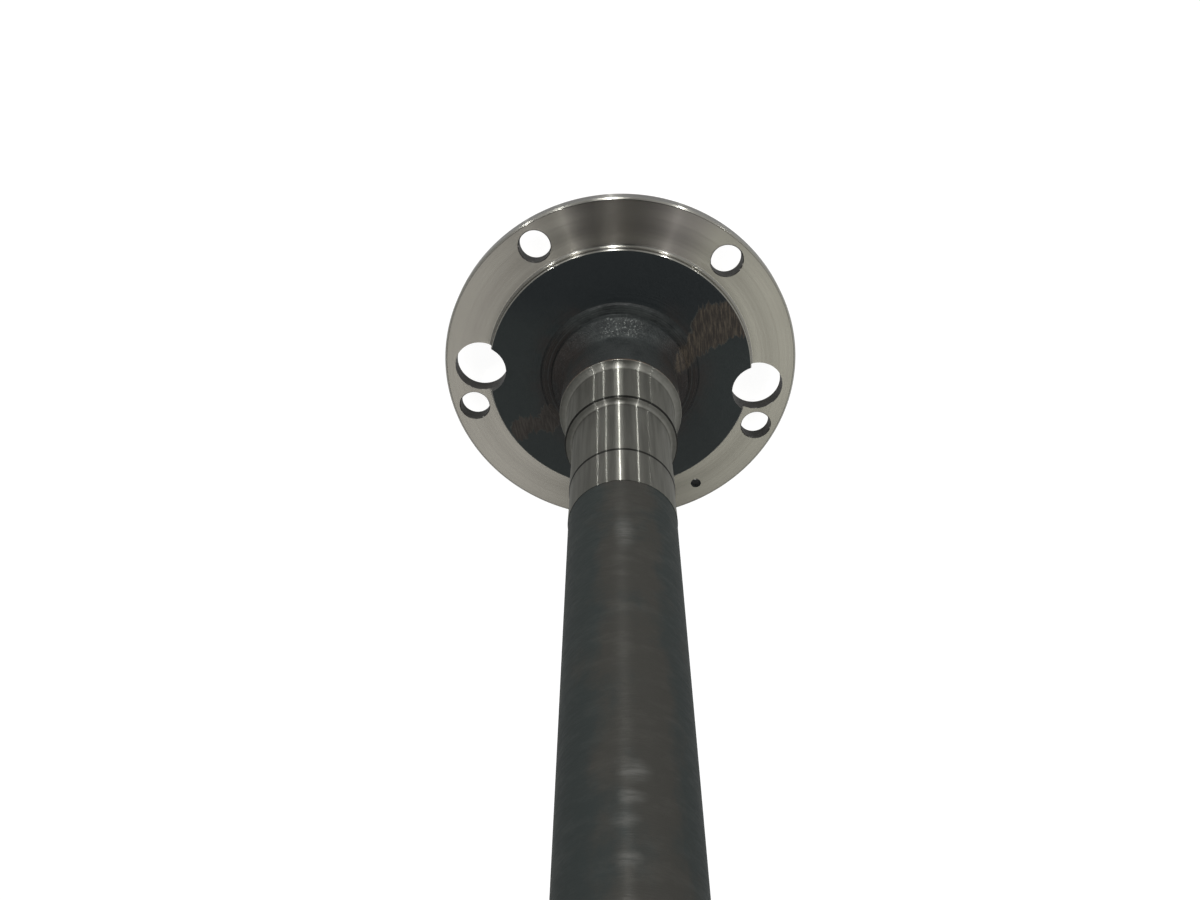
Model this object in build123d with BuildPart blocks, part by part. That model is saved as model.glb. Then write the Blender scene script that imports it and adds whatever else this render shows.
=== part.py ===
# Semi-floating rear axle shaft: a one-piece forging with a wheel flange, ground seats and a splined end.
# Millimetres. The shaft axis is +Z. The origin is the middle of the wheel pilot's end face,
# so the shaft stands on its flange end with the spline at the top.
from build123d import *
import math
import os

# Wheel stud holes; their circle sets the flange, its web and the other holes
lug_circle_diameter = 139.7
lug_count = 5
lug_hole_diameter = 13.6
lug_hole_chamfer = 0.4
first_lug_angle = 270.0

# Machined ring of the wheel flange
lug_to_rim = 10.15
ring_thickness = 7.0
rim_chamfer = 0.7

# Two large holes that let a socket reach the bearing retainer's nuts
access_hole_diameter = 23.5
access_circle_inset = 6.35
access_to_lug_wall = 2.14

# Small index hole in the machined ring
index_hole_diameter = 4.3
index_circle_offset = 0.65
index_hole_angle = 307.0
index_hole_chamfer = 0.3

# Wheel side: locating pilot and shallow forged recess
pilot_diameter = 87.0
pilot_height = 6.0
pilot_chamfer = 1.5
pilot_root_fillet = 0.8
recess_diameter = 56.0
recess_depth = 3.0
recess_draft_angle = 30.0
recess_fillet = 1.5

# Forged web inside the machined ring, raised towards the shaft
lug_to_web = 10.35
web_height = 4.2
web_edge_chamfer = 0.5
web_foot_fillet = 1.4

# Forging ridge round the hub, hub root and neck
ridge_outer_diameter = 72.0
ridge_width = 4.8
ridge_height = 1.3
ridge_draft = 0.65
hub_step_height = 2.2
hub_root_radius = 12.0
neck_height = 40.0
neck_step = 0.45

# Ground seats; the bearing seat sets the steps up to the seal seat and down to the collar seat
bearing_seat_diameter = 38.1
bearing_seat_length = 34.3
bearing_seat_fillet = 1.5
bearing_seat_chamfer_length = 0.8
bearing_seat_chamfer_depth = 0.25
seal_seat_step = 3.2
seal_seat_length = 25.9
seal_seat_fillet = 2.8
seal_seat_chamfer = 0.6
collar_seat_step = 0.4
collar_seat_length = 19.0
collar_lead_length = 3.8

# As-forged shaft: a long taper, then a straight waist just clear of the spline's roots
shaft_root_step = 0.2
taper_length = 166.0
waist_clearance = 0.125

# Splined inner end: involute teeth with flat roots, half a module above and half below the pitch circle
overall_length = 740.0
spline_length = 72.0
spline_teeth = 31
spline_teeth_per_inch = 24
spline_pressure_angle = 45.0
spline_end_chamfer = 1.6
hob_radius = 40.0
hob_overrun = 1.5
collar_length = 12.0
collar_blend_length = 10.0

# Lathe centres in both ends
centre_angle = 60.0
flange_centre_diameter = 12.0
flange_centre_bore = 5.0
flange_centre_depth = 12.0
spline_centre_diameter = 9.0
spline_centre_bore = 4.0
spline_centre_depth = 9.0

# Heights above the origin
wheel_face_z = pilot_height
ring_z = wheel_face_z + ring_thickness
web_z = ring_z + web_height
ridge_z = web_z + ridge_height
hub_step_z = ridge_z + hub_step_height
neck_end_z = ring_z + neck_height
seal_flare_z = neck_end_z + seal_seat_fillet
seal_end_z = neck_end_z + seal_seat_length
bearing_end_z = seal_end_z + bearing_seat_length
collar_lead_z = bearing_end_z + collar_lead_length
collar_end_z = bearing_end_z + collar_seat_length
taper_end_z = collar_end_z + taper_length
spline_start_z = overall_length - spline_length
spline_collar_z = spline_start_z - collar_length

# Flange radii
lug_circle_r = lug_circle_diameter / 2
flange_r = lug_circle_r + lug_to_rim
web_r = lug_circle_r - lug_to_web
access_circle_r = lug_circle_r - access_circle_inset
index_circle_r = lug_circle_r + index_circle_offset
pilot_r = pilot_diameter / 2
recess_r = recess_diameter / 2
recess_floor_r = recess_r - recess_depth * math.tan(math.radians(recess_draft_angle))
ridge_outer_r = ridge_outer_diameter / 2
ridge_inner_r = ridge_outer_r - ridge_width
hub_step_r = ridge_inner_r - ridge_draft

# Spline circles
spline_module = 25.4 / spline_teeth_per_inch
spline_pitch_r = spline_module * spline_teeth / 2
spline_major_r = spline_pitch_r + spline_module / 2
spline_minor_r = spline_pitch_r - spline_module / 2
spline_base_r = spline_pitch_r * math.cos(math.radians(spline_pressure_angle))
gap_mouth_r = spline_major_r + spline_module / 2

# Shaft radii
bearing_r = bearing_seat_diameter / 2
seal_r = bearing_r + seal_seat_step
seal_flare_r = seal_r + seal_seat_fillet
neck_r = seal_flare_r + neck_step
collar_r = bearing_r - collar_seat_step
shaft_root_r = collar_r - shaft_root_step
waist_r = spline_minor_r + waist_clearance

# The hub root is an arc tangent to the neck that lands on the step above the ridge
hub_root_rise = math.sqrt(hub_root_radius**2 - (hub_root_radius - (hub_step_r - neck_r)) ** 2)
hub_root_top_z = hub_step_z + hub_root_rise

# Angle from a stud hole's centre to that of the access hole beside it, from the wall between them
access_to_lug = lug_hole_diameter / 2 + access_to_lug_wall + access_hole_diameter / 2
squared_sides = lug_circle_r**2 + access_circle_r**2 - access_to_lug**2
access_angle_from_lug = math.degrees(math.acos(squared_sides / (2 * lug_circle_r * access_circle_r)))


def involute(angle):
    """Involute function of an angle in radians."""
    return math.tan(angle) - angle


def gap_point(radius, side):
    """Point at a radius on one side of the space between two teeth; the space is centred on +X."""
    half_space_at_pitch = math.pi / (2 * spline_teeth)
    roll_at_pitch = involute(math.radians(spline_pressure_angle))
    roll_here = involute(math.acos(spline_base_r / radius))
    half_angle = side * (half_space_at_pitch - roll_at_pitch + roll_here)
    return (radius * math.cos(half_angle), radius * math.sin(half_angle))


def circle_edges(part, height):
    """Circular edges of a part at one height, smallest radius first."""
    circles = part.edges().filter_by(GeomType.CIRCLE)
    return circles.filter_by_position(Axis.Z, height - 0.01, height + 0.01).sort_by(SortBy.RADIUS)


# The path of the hob's tooth: along the spline, then out of the shaft on the hob's own radius
hob_path_r = hob_radius - spline_module / 2
hob_depth_z = spline_start_z + math.sqrt(hob_radius**2 - (hob_radius - spline_module) ** 2)
hob_exit_angle = math.acos((hob_radius - spline_module) / hob_radius) + math.radians(4)

with BuildPart() as spline_space:
    with BuildLine(Plane.XZ) as hob_path:
        along_spline = Line(
            (spline_pitch_r, overall_length + hob_overrun),
            (spline_pitch_r, hob_depth_z),
        )
        TangentArc(
            along_spline @ 1,
            (
                spline_pitch_r + hob_path_r * (1 - math.cos(hob_exit_angle)),
                hob_depth_z - hob_path_r * math.sin(hob_exit_angle),
            ),
            tangent=along_spline % 1,
        )
    with BuildSketch(Plane.XY.offset(overall_length + hob_overrun)):
        with BuildLine():
            for side in (1, -1):
                ThreePointArc(
                    gap_point(spline_minor_r, side),
                    gap_point(spline_pitch_r, side),
                    gap_point(gap_mouth_r, side),
                )
            Line(gap_point(spline_minor_r, 1), gap_point(spline_minor_r, -1))
            Line(gap_point(gap_mouth_r, 1), gap_point(gap_mouth_r, -1))
        make_face()
    sweep(path=hob_path.wire())

with BuildPart() as axle_shaft:
    # Turned outline, radius along X and height along Z
    with BuildSketch(Plane.XZ):
        with BuildLine():
            Polyline(
                (0, recess_depth),
                (recess_floor_r, recess_depth),
                (recess_r, 0),
                (pilot_r - pilot_chamfer, 0),
                (pilot_r, pilot_chamfer),
                (pilot_r, wheel_face_z),
                (flange_r - rim_chamfer, wheel_face_z),
                (flange_r, wheel_face_z + rim_chamfer),
                (flange_r, ring_z - rim_chamfer),
                (flange_r - rim_chamfer, ring_z),
                (web_r, ring_z),
                (web_r, web_z - web_edge_chamfer),
                (web_r - web_edge_chamfer, web_z),
                (ridge_outer_r, web_z),
                (ridge_outer_r - ridge_draft, ridge_z),
                (ridge_inner_r, ridge_z),
                (hub_step_r, hub_step_z),
            )
            TangentArc((neck_r, hub_root_top_z), (hub_step_r, hub_step_z), tangent=(0, -1))
            Polyline((neck_r, hub_root_top_z), (neck_r, neck_end_z), (seal_flare_r, neck_end_z))
            TangentArc((seal_flare_r, neck_end_z), (seal_r, seal_flare_z), tangent=(-1, 0))
            Polyline(
                (seal_r, seal_flare_z),
                (seal_r, seal_end_z - seal_seat_chamfer),
                (seal_r - seal_seat_chamfer, seal_end_z),
                (bearing_r, seal_end_z),
                (bearing_r, bearing_end_z - bearing_seat_chamfer_length),
                (bearing_r - bearing_seat_chamfer_depth, bearing_end_z),
                (collar_r, collar_lead_z),
                (collar_r, collar_end_z),
                (shaft_root_r, collar_end_z),
                (waist_r, taper_end_z),
                (waist_r, spline_collar_z - collar_blend_length),
                (spline_major_r, spline_collar_z),
                (spline_major_r, overall_length - spline_end_chamfer),
                (spline_major_r - spline_end_chamfer, overall_length),
                (0, overall_length),
                (0, recess_depth),
            )
        make_face()
    revolve(axis=Axis.Z)

    # Corners that the lathe tool and the forging die leave round
    fillet(circle_edges(axle_shaft, recess_depth)[0], recess_fillet)
    fillet(circle_edges(axle_shaft, wheel_face_z)[0], pilot_root_fillet)
    fillet(circle_edges(axle_shaft, ring_z)[0], web_foot_fillet)
    fillet(circle_edges(axle_shaft, seal_end_z)[0], bearing_seat_fillet)

    # Stud holes, broken at both faces
    with BuildSketch(Plane.XY.offset(ring_z)):
        with PolarLocations(lug_circle_r, lug_count, start_angle=first_lug_angle):
            Circle(lug_hole_diameter / 2)
    extrude(amount=-ring_thickness, mode=Mode.SUBTRACT)
    chamfer(axle_shaft.edges(Select.LAST).filter_by(GeomType.CIRCLE), lug_hole_chamfer)

    # Socket access holes, one above each of the two lower stud holes
    lug_pitch_angle = 360 / lug_count
    right_access_angle = first_lug_angle + lug_pitch_angle + access_angle_from_lug
    left_access_angle = first_lug_angle - lug_pitch_angle - access_angle_from_lug
    for access_angle in (right_access_angle, left_access_angle):
        with BuildSketch(Plane.XY.offset(wheel_face_z)):
            with PolarLocations(access_circle_r, 1, start_angle=access_angle):
                Circle(access_hole_diameter / 2)
        extrude(amount=ring_thickness + web_height, mode=Mode.SUBTRACT)

    # Index hole
    with BuildSketch(Plane.XY.offset(ring_z)):
        with PolarLocations(index_circle_r, 1, start_angle=index_hole_angle):
            Circle(index_hole_diameter / 2)
    extrude(amount=-ring_thickness, mode=Mode.SUBTRACT)
    chamfer(axle_shaft.edges(Select.LAST).filter_by(GeomType.CIRCLE), index_hole_chamfer)

    # Lathe centres
    with Locations(Plane((0, 0, recess_depth), z_dir=(0, 0, -1))):
        CounterSinkHole(
            flange_centre_bore / 2, flange_centre_diameter / 2, flange_centre_depth, centre_angle
        )
    with Locations(Plane.XY.offset(overall_length)):
        CounterSinkHole(
            spline_centre_bore / 2, spline_centre_diameter / 2, spline_centre_depth, centre_angle
        )

    # Hobbed spline
    with PolarLocations(0, spline_teeth):
        add(spline_space.part, mode=Mode.SUBTRACT)

axle_shaft.part.label = "axle_shaft"

os.makedirs("parts", exist_ok=True)
export_step(axle_shaft.part, "parts/axle_shaft.step")
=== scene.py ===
# Looks for the axle shaft: one turned mesh in place of the CAD solid, its steels and scales,
# a pale floor, soft studio light and the photograph's camera. Metres, in the CAD frame.
import math

import bpy
from mathutils import Matrix, Vector, noise


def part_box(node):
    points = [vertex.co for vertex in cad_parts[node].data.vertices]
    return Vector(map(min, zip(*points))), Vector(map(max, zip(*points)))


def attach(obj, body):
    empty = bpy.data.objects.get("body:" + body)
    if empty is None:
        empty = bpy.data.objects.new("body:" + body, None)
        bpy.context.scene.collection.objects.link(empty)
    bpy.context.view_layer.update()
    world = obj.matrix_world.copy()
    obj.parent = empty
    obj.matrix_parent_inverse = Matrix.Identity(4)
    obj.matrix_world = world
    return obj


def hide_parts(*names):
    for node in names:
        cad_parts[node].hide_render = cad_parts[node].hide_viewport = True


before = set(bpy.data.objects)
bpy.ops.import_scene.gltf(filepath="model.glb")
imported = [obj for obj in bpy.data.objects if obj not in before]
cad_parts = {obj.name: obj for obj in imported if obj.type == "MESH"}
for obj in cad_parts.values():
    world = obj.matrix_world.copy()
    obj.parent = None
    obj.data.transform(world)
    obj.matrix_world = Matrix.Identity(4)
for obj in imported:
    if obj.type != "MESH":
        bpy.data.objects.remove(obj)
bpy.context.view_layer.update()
low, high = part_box("axle_shaft")

MM = 0.001

# Wheel flange
FLANGE_R = min(high[0], high[1], -low[0], -low[1])
RING_Z = 13.0 * MM
WHEEL_FACE_Z = 6.0 * MM
RIM_CHAMFER = 0.7 * MM
WEB_CHAMFER = 0.5 * MM
WEB_FOOT_FILLET = 1.4 * MM
LUG_CIRCLE_R = 69.85 * MM
LUG_HOLE_R = 6.8 * MM
LUG_HOLE_CHAMFER = 0.4 * MM
LUG_COUNT = 5
FIRST_LUG_ANGLE = 270.0
ACCESS_CIRCLE_R = 63.5 * MM
ACCESS_HOLE_R = 11.75 * MM
ACCESS_ANGLES = (359.0, 181.0)
INDEX_CIRCLE_R = 70.5 * MM
INDEX_HOLE_R = 2.15 * MM
INDEX_HOLE_CHAMFER = 0.3 * MM
INDEX_ANGLE = 307.0
PILOT_R = 43.5 * MM
PILOT_CHAMFER = 1.5 * MM
PILOT_ROOT_FILLET = 0.8 * MM
RECESS_R = 28.0 * MM
RECESS_FLOOR_R = 26.268 * MM
RECESS_DEPTH = 3.0 * MM
RECESS_FILLET = 1.5 * MM
RECESS_LIP = 0.4 * MM
FLANGE_CENTRE_R = 6.0 * MM
FLANGE_CENTRE_BORE_R = 2.5 * MM
FLANGE_CONE_END_Z = 9.06 * MM
FLANGE_BORE_END_Z = 15.0 * MM

# Web, ridge, hub and neck
WEB_R = 59.5 * MM
WEB_Z = 17.2 * MM
RIDGE_OUTER_R = 36.0 * MM
RIDGE_INNER_R = 31.2 * MM
RIDGE_Z = 18.5 * MM
RIDGE_DRAFT = 0.65 * MM
HUB_STEP_Z = 20.7 * MM
HUB_ROOT_RADIUS = 12.0 * MM
DRIFT_END_Z = 34.0 * MM
NECK_R = 25.5 * MM
NECK_END_Z = 53.0 * MM
NECK_EDGE = 0.15 * MM

# Ground seats
SEAL_R = 22.25 * MM
SEAL_FILLET = 2.8 * MM
SEAL_CHAMFER = 0.6 * MM
SEAL_END_Z = 78.9 * MM
BEARING_R = 19.05 * MM
BEARING_FILLET = 1.5 * MM
BEARING_CHAMFER_LENGTH = 0.8 * MM
BEARING_CHAMFER_DEPTH = 0.25 * MM
BEARING_END_Z = 113.2 * MM
COLLAR_R = 18.65 * MM
COLLAR_LEAD_Z = 117.0 * MM
COLLAR_END_Z = 132.2 * MM
COLLAR_CHAMFER = 0.1 * MM

# Forged shaft and spline
SHAFT_ROOT_R = 18.45 * MM
WAIST_R = 16.0 * MM
TAPER_END_Z = 298.2 * MM
SPLINE_COLLAR_Z = 656.0 * MM
COLLAR_BLEND = 10.0 * MM
SPLINE_START_Z = 668.0 * MM
END_Z = high[2]
END_CHAMFER = 1.6 * MM
END_CENTRE_R = 4.5 * MM
END_CENTRE_BORE_R = 2.0 * MM
END_CONE_DEPTH = 4.33 * MM
END_BORE_DEPTH = 9.0 * MM
TEETH = 31
TEETH_PER_INCH = 24
MODULE = 25.4 * MM / TEETH_PER_INCH
PRESSURE_ANGLE = math.radians(45.0)
HOB_RADIUS = 40.0 * MM
PITCH_R = MODULE * TEETH / 2
MAJOR_R = PITCH_R + MODULE / 2
MINOR_R = PITCH_R - MODULE / 2

# Rust patches on the web and the ridge: centre x and y and half sizes in millimetres, turn in degrees
RUST_SHAPES = (
    (38.5, 28.0, 9.5, 10.5, 0.0),
    (47.0, 31.5, 10.0, 6.5, -45.0),
    (33.2, 19.6, 5.4, 6.0, 0.0),
    (27.9, 13.2, 5.0, 5.6, -8.0),
    (-41.0, -27.7, 8.0, 4.2, 8.0),
    (-44.5, -31.5, 4.0, 5.0, 0.0),
    (-31.0, -23.5, 4.8, 7.8, 0.0),
)
RUST_GAP = (50.3, 18.3, 6.3, 6.3, 0.0)
RUST_STREAK_TURN = -11.5
# Worn spots on the shaft's +Y side, painted partly as highlight: centre x and z and half sizes in
# millimetres
WEAR_AND_HIGHLIGHT_SPOTS = (
    (-1.4, 160.0, 4.2, 9.5),
    (-0.1, 244.5, 4.6, 3.8),
    (-0.9, 250.8, 4.0, 2.4),
    (-2.3, 256.2, 3.8, 2.4),
    (-1.8, 264.5, 3.8, 2.2),
)

FINE_ROUNDING = 0.15 * MM
SMOOTH_ANGLE = 24.0
EXACTLY_FLAT = 0.99999
EXACTLY_UPRIGHT = 1e-4

# World: strengths of the dome, of its -X side, of the dark band overhead and of the horizon
DOME = 0.8
DOME_LEFT = 0.08
BAND = 0.018
HORIZON = 0.82
# Where they fade into each other, as parts of a direction of length 1; the band's turn is in degrees
LEFT_FADE = (-0.85, -0.35)
BAND_FADE = (0.05, 0.38)
BAND_TURN = 8.0
BAND_NARROWING = 0.2
NARROWING_FADE = (-0.45, -0.8)
HORIZON_FADE = (0.15, 0.45)

FLOOR_SIZE = 12.0
FLOOR_DROP = 0.2 * MM
FLOOR_COLOUR = (0.25, 0.25, 0.25, 1)
FLOOR_GLOW = 0.9

# Lamps: name, direction towards the lamp, strength, width in degrees
LAMPS = (
    ("lamp_middle", (-0.146, 0.989, 0.035), 1.3, 2.0),
    ("lamp_right", (0.365, 0.852, 0.375), 0.5, 1.2),
    ("lamp_far_right", (0.615, 0.61, 0.5), 0.08, 1.2),
    ("lamp_left", (-0.442, 0.68, 0.585), 0.35, 1.2),
    ("lamp_far_left", (-0.675, 0.605, 0.423), 0.25, 1.2),
    ("lamp_soft", (-0.146, 0.989, 0.09), 0.5, 14.0),
)

# The photograph's camera, fitted to the flange, the seats and the shaft
CAMERA_PLACE = (-0.017096, 0.167235, 0.365811)
CAMERA_RIGHT = (0.99729817, 0.07250824, -0.01178609)
CAMERA_UP = (-0.06840066, 0.85807171, -0.50895412)
CAMERA_LENS = 25.451
CAMERA_SENSOR = 36.0


def arc(centre, radius, start, end, steps):
    """Points of an arc in the (radius, height) plane; angles in degrees."""
    points = []
    for i in range(steps + 1):
        angle = math.radians(start + (end - start) * i / steps)
        points.append((centre[0] + radius * math.cos(angle), centre[1] + radius * math.sin(angle)))
    return points


def rounded(corners, step_degrees=15.0):
    """Outline through the corners (radius, height, rounding), each rounded by its own radius."""
    outline = []
    last = len(corners) - 1
    for i, (r, z, rounding) in enumerate(corners):
        here = Vector((r, z))
        if rounding == 0 or i in (0, last):
            outline.append((r, z))
            continue
        before = (Vector(corners[i - 1][:2]) - here).normalized()
        after = (Vector(corners[i + 1][:2]) - here).normalized()
        half = before.angle(after) / 2
        setback = rounding / math.tan(half)
        turn = math.pi - 2 * half
        steps = max(2, round(math.degrees(turn) / step_degrees))
        centre = here + (before + after).normalized() * rounding / math.sin(half)
        start = here + before * setback - centre
        sign = 1 if (start.x * after.y - start.y * after.x) > 0 else -1
        for k in range(steps + 1):
            angle = sign * turn * k / steps
            c, s = math.cos(angle), math.sin(angle)
            outline.append((centre.x + start.x * c - start.y * s, centre.y + start.x * s + start.y * c))
    return outline


def flange_outline():
    """Wheel side's lathe centre and recess, pilot, ring, web and the forging ridge."""
    fine = FINE_ROUNDING
    return rounded([
        (0.0, FLANGE_BORE_END_Z, 0),
        (FLANGE_CENTRE_BORE_R, FLANGE_BORE_END_Z, 0),
        (FLANGE_CENTRE_BORE_R, FLANGE_CONE_END_Z, 0),
        (FLANGE_CENTRE_R, RECESS_DEPTH, fine),
        (RECESS_FLOOR_R, RECESS_DEPTH, RECESS_FILLET),
        (RECESS_R, 0.0, RECESS_LIP),
        (PILOT_R - PILOT_CHAMFER, 0.0, fine),
        (PILOT_R, PILOT_CHAMFER, fine),
        (PILOT_R, WHEEL_FACE_Z, PILOT_ROOT_FILLET),
        (FLANGE_R - RIM_CHAMFER, WHEEL_FACE_Z, fine),
        (FLANGE_R, WHEEL_FACE_Z + RIM_CHAMFER, fine),
        (FLANGE_R, RING_Z - RIM_CHAMFER, fine),
        (FLANGE_R - RIM_CHAMFER, RING_Z, fine),
        (WEB_R, RING_Z, WEB_FOOT_FILLET),
        (WEB_R, WEB_Z - WEB_CHAMFER, fine),
        (WEB_R - WEB_CHAMFER, WEB_Z, fine),
        (RIDGE_OUTER_R, WEB_Z, 0.5 * MM),
        (RIDGE_OUTER_R - RIDGE_DRAFT, RIDGE_Z, 0.4 * MM),
        (RIDGE_INNER_R, RIDGE_Z, 0.35 * MM),
    ])


def hub_outline():
    """Hub's root, neck and the flare up to the seal seat."""
    step_r = RIDGE_INNER_R - RIDGE_DRAFT
    rise = math.sqrt(HUB_ROOT_RADIUS**2 - (HUB_ROOT_RADIUS - (step_r - NECK_R)) ** 2)
    root_centre = (NECK_R + HUB_ROOT_RADIUS, HUB_STEP_Z + rise)
    land_angle = math.degrees(math.atan2(-rise, step_r - root_centre[0]))
    root = arc(root_centre, HUB_ROOT_RADIUS, land_angle % 360, 180.0, 14)
    flare_r = SEAL_R + SEAL_FILLET
    neck = [
        (NECK_R, NECK_END_Z - NECK_EDGE),
        (NECK_R - NECK_EDGE, NECK_END_Z),
        (flare_r + 0.05 * MM, NECK_END_Z),
    ]
    return root + neck + arc((flare_r, NECK_END_Z + SEAL_FILLET), SEAL_FILLET, 270.0, 180.0, 10)


def seats_outline():
    """Seal, bearing and collar seats, down to the forged shaft."""
    fine = FINE_ROUNDING
    return rounded([
        (SEAL_R, NECK_END_Z + SEAL_FILLET + 2.0 * MM, 0),
        (SEAL_R, SEAL_END_Z - SEAL_CHAMFER, fine),
        (SEAL_R - SEAL_CHAMFER, SEAL_END_Z, fine),
        (BEARING_R, SEAL_END_Z, BEARING_FILLET),
        (BEARING_R, BEARING_END_Z - BEARING_CHAMFER_LENGTH, fine),
        (BEARING_R - BEARING_CHAMFER_DEPTH, BEARING_END_Z, fine),
        (COLLAR_R, COLLAR_LEAD_Z, fine),
        (COLLAR_R, COLLAR_END_Z - COLLAR_CHAMFER, 0),
        (COLLAR_R - COLLAR_CHAMFER, COLLAR_END_Z, 0),
        (SHAFT_ROOT_R, COLLAR_END_Z, 0),
    ])


def forged_drift(x, y, z):
    """Small shift of a point on the ridge and the hub, as a worn forging die leaves."""
    r = math.hypot(x, y)
    share = min(1.0, max(0.0, (RIDGE_OUTER_R + 0.3 * MM - r) / (0.4 * MM)))
    share *= min(1.0, max(0.0, (z - WEB_Z + 0.2 * MM) / (0.4 * MM)))
    share *= min(1.0, max(0.0, (DRIFT_END_Z - z) / (8.0 * MM)))
    wide = noise.noise(Vector((x, y, z)) * 110.0)
    fine = noise.noise(Vector((y, z, x)) * 330.0)
    outward = (0.28 * wide + 0.16 * fine) * share * MM / max(r, MM)
    return x * (1 + outward), y * (1 + outward), z + (0.10 * fine - 0.06 * wide) * share * MM


def shaft_heights():
    """Rows (radius, height) from the taper's start to the foot of the spline."""
    rows = []
    steps = 8
    for i in range(1, steps + 1):
        share = i / steps
        r = SHAFT_ROOT_R + (WAIST_R - SHAFT_ROOT_R) * share
        rows.append((r, COLLAR_END_Z + (TAPER_END_Z - COLLAR_END_Z) * share))
    blend_z = SPLINE_COLLAR_Z - COLLAR_BLEND
    for share in (0.33, 0.66, 1.0):
        rows.append((WAIST_R, TAPER_END_Z + (blend_z - TAPER_END_Z) * share))
    for share in (0.1, 0.3, 0.5, 0.7, 0.9, 1.0):
        ease = share * share * (3 - 2 * share)
        rows.append((WAIST_R + (MAJOR_R - WAIST_R) * ease, blend_z + COLLAR_BLEND * share))
    rows.append((MAJOR_R, SPLINE_START_Z - 0.1 * MM))
    return rows


def involute(angle):
    """Involute function of an angle in radians."""
    return math.tan(angle) - angle


def space_half_angle(radius):
    """Half of the angle that a tooth space takes up at a radius."""
    base_r = PITCH_R * math.cos(PRESSURE_ANGLE)
    return math.pi / (2 * TEETH) - involute(PRESSURE_ANGLE) + involute(math.acos(base_r / radius))


def tooth_columns():
    """Columns of the mesh round the axis: (angle, radius of the finished spline there)."""
    depth = MAJOR_R - MINOR_R
    flank = [MINOR_R, MINOR_R + 0.3 * depth, MINOR_R + 0.6 * depth, MAJOR_R - 0.1 * MM, MAJOR_R]
    half_pitch = math.pi / TEETH
    side = [(space_half_angle(r), r) for r in flank]
    land = side[-1][0]
    side.append((land + (half_pitch - land) / 3, MAJOR_R))
    side.append((land + (half_pitch - land) * 2 / 3, MAJOR_R))
    other_side = [(2 * half_pitch - a, r) for a, r in reversed(side)]
    one_tooth = [(0.0, MINOR_R)] + side + [(half_pitch, MAJOR_R)] + other_side
    return [(a + 2 * half_pitch * tooth, r) for tooth in range(TEETH) for a, r in one_tooth]


def hob_rise(height):
    """How far the hob's arc has lifted out of the full depth at a height."""
    full_depth_z = SPLINE_START_Z + math.sqrt(HOB_RADIUS**2 - (HOB_RADIUS - MODULE) ** 2)
    drop = max(0.0, full_depth_z - height)
    return HOB_RADIUS - math.sqrt(HOB_RADIUS**2 - drop**2)


def spline_rows(columns):
    """Rows of the splined end, each a list of radii round the axis and a height."""
    heights = [SPLINE_START_Z + 1.1 * MM * i for i in range(9)]
    heights += [SPLINE_START_Z + 30 * MM, END_Z - END_CHAMFER - 2 * MM]
    heights += [END_Z - END_CHAMFER + END_CHAMFER * share for share in (0.0, 0.25, 0.5, 0.75, 1.0)]
    rows = []
    for z in heights:
        blank_r = MAJOR_R - max(0.0, z - (END_Z - END_CHAMFER))
        rise = hob_rise(z)
        rows.append(([min(blank_r, r + rise) for _, r in columns], z))
    return rows


def lathe_mesh(name):
    """The whole shaft before its flange holes are drilled."""
    columns = tooth_columns()
    angles = [a for a, _ in columns]
    count = len(angles)
    outline = flange_outline() + hub_outline() + seats_outline() + shaft_heights()
    rows = [([r] * count, z) for r, z in outline]
    rows += spline_rows(columns)
    centre = [(END_CENTRE_R, 0.0), (END_CENTRE_BORE_R, END_CONE_DEPTH), (END_CENTRE_BORE_R, END_BORE_DEPTH)]
    rows += [([r] * count, END_Z - depth) for r, depth in centre]
    first_tip = rows[0][1]
    rows = rows[1:]
    verts = []
    for radii, z in rows:
        ring = [(r * math.cos(a), r * math.sin(a), z) for r, a in zip(radii, angles)]
        forged = WEB_Z - 0.2 * MM < z < DRIFT_END_Z and radii[0] < RIDGE_OUTER_R + 0.3 * MM
        verts += [forged_drift(*point) for point in ring] if forged else ring
    faces = []
    for i in range(len(rows) - 1):
        for j in range(count):
            k = (j + 1) % count
            faces.append((i * count + j, i * count + k, (i + 1) * count + k, (i + 1) * count + j))
    start_tip = len(verts)
    verts.append((0.0, 0.0, first_tip))
    verts.append((0.0, 0.0, rows[-1][1]))
    top = (len(rows) - 1) * count
    for j in range(count):
        k = (j + 1) % count
        faces.append((start_tip, k, j))
        faces.append((start_tip + 1, top + j, top + k))
    mesh = bpy.data.meshes.new(name)
    mesh.from_pydata(verts, [], faces)
    mesh.update()
    return mesh


def drill(verts, faces, centre_r, angle, outline, segments=96):
    """Adds one round cutter, given by its own (radius, height) outline, to the cutter mesh."""
    cx = centre_r * math.cos(math.radians(angle))
    cy = centre_r * math.sin(math.radians(angle))
    base = len(verts)
    for r, z in outline:
        for j in range(segments):
            a = 2 * math.pi * j / segments
            verts.append((cx + r * math.cos(a), cy + r * math.sin(a), z))
    for i in range(len(outline) - 1):
        for j in range(segments):
            k = (j + 1) % segments
            low_row, high_row = base + i * segments, base + (i + 1) * segments
            faces.append((low_row + j, low_row + k, high_row + k, high_row + j))
    faces.append(tuple(base + j for j in reversed(range(segments))))
    faces.append(tuple(base + (len(outline) - 1) * segments + j for j in range(segments)))


def hole_outline(radius, bottom, top, chamfer):
    """Outline of a cutter that breaks both edges of its hole."""
    over = 1.0 * MM
    return [
        (radius + chamfer + over, bottom - over),
        (radius, bottom + chamfer),
        (radius, top - chamfer),
        (radius + chamfer + over, top + over),
    ]


def lug_angles():
    """Angles of the stud holes in degrees."""
    return [FIRST_LUG_ANGLE + i * 360 / LUG_COUNT for i in range(LUG_COUNT)]


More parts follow.
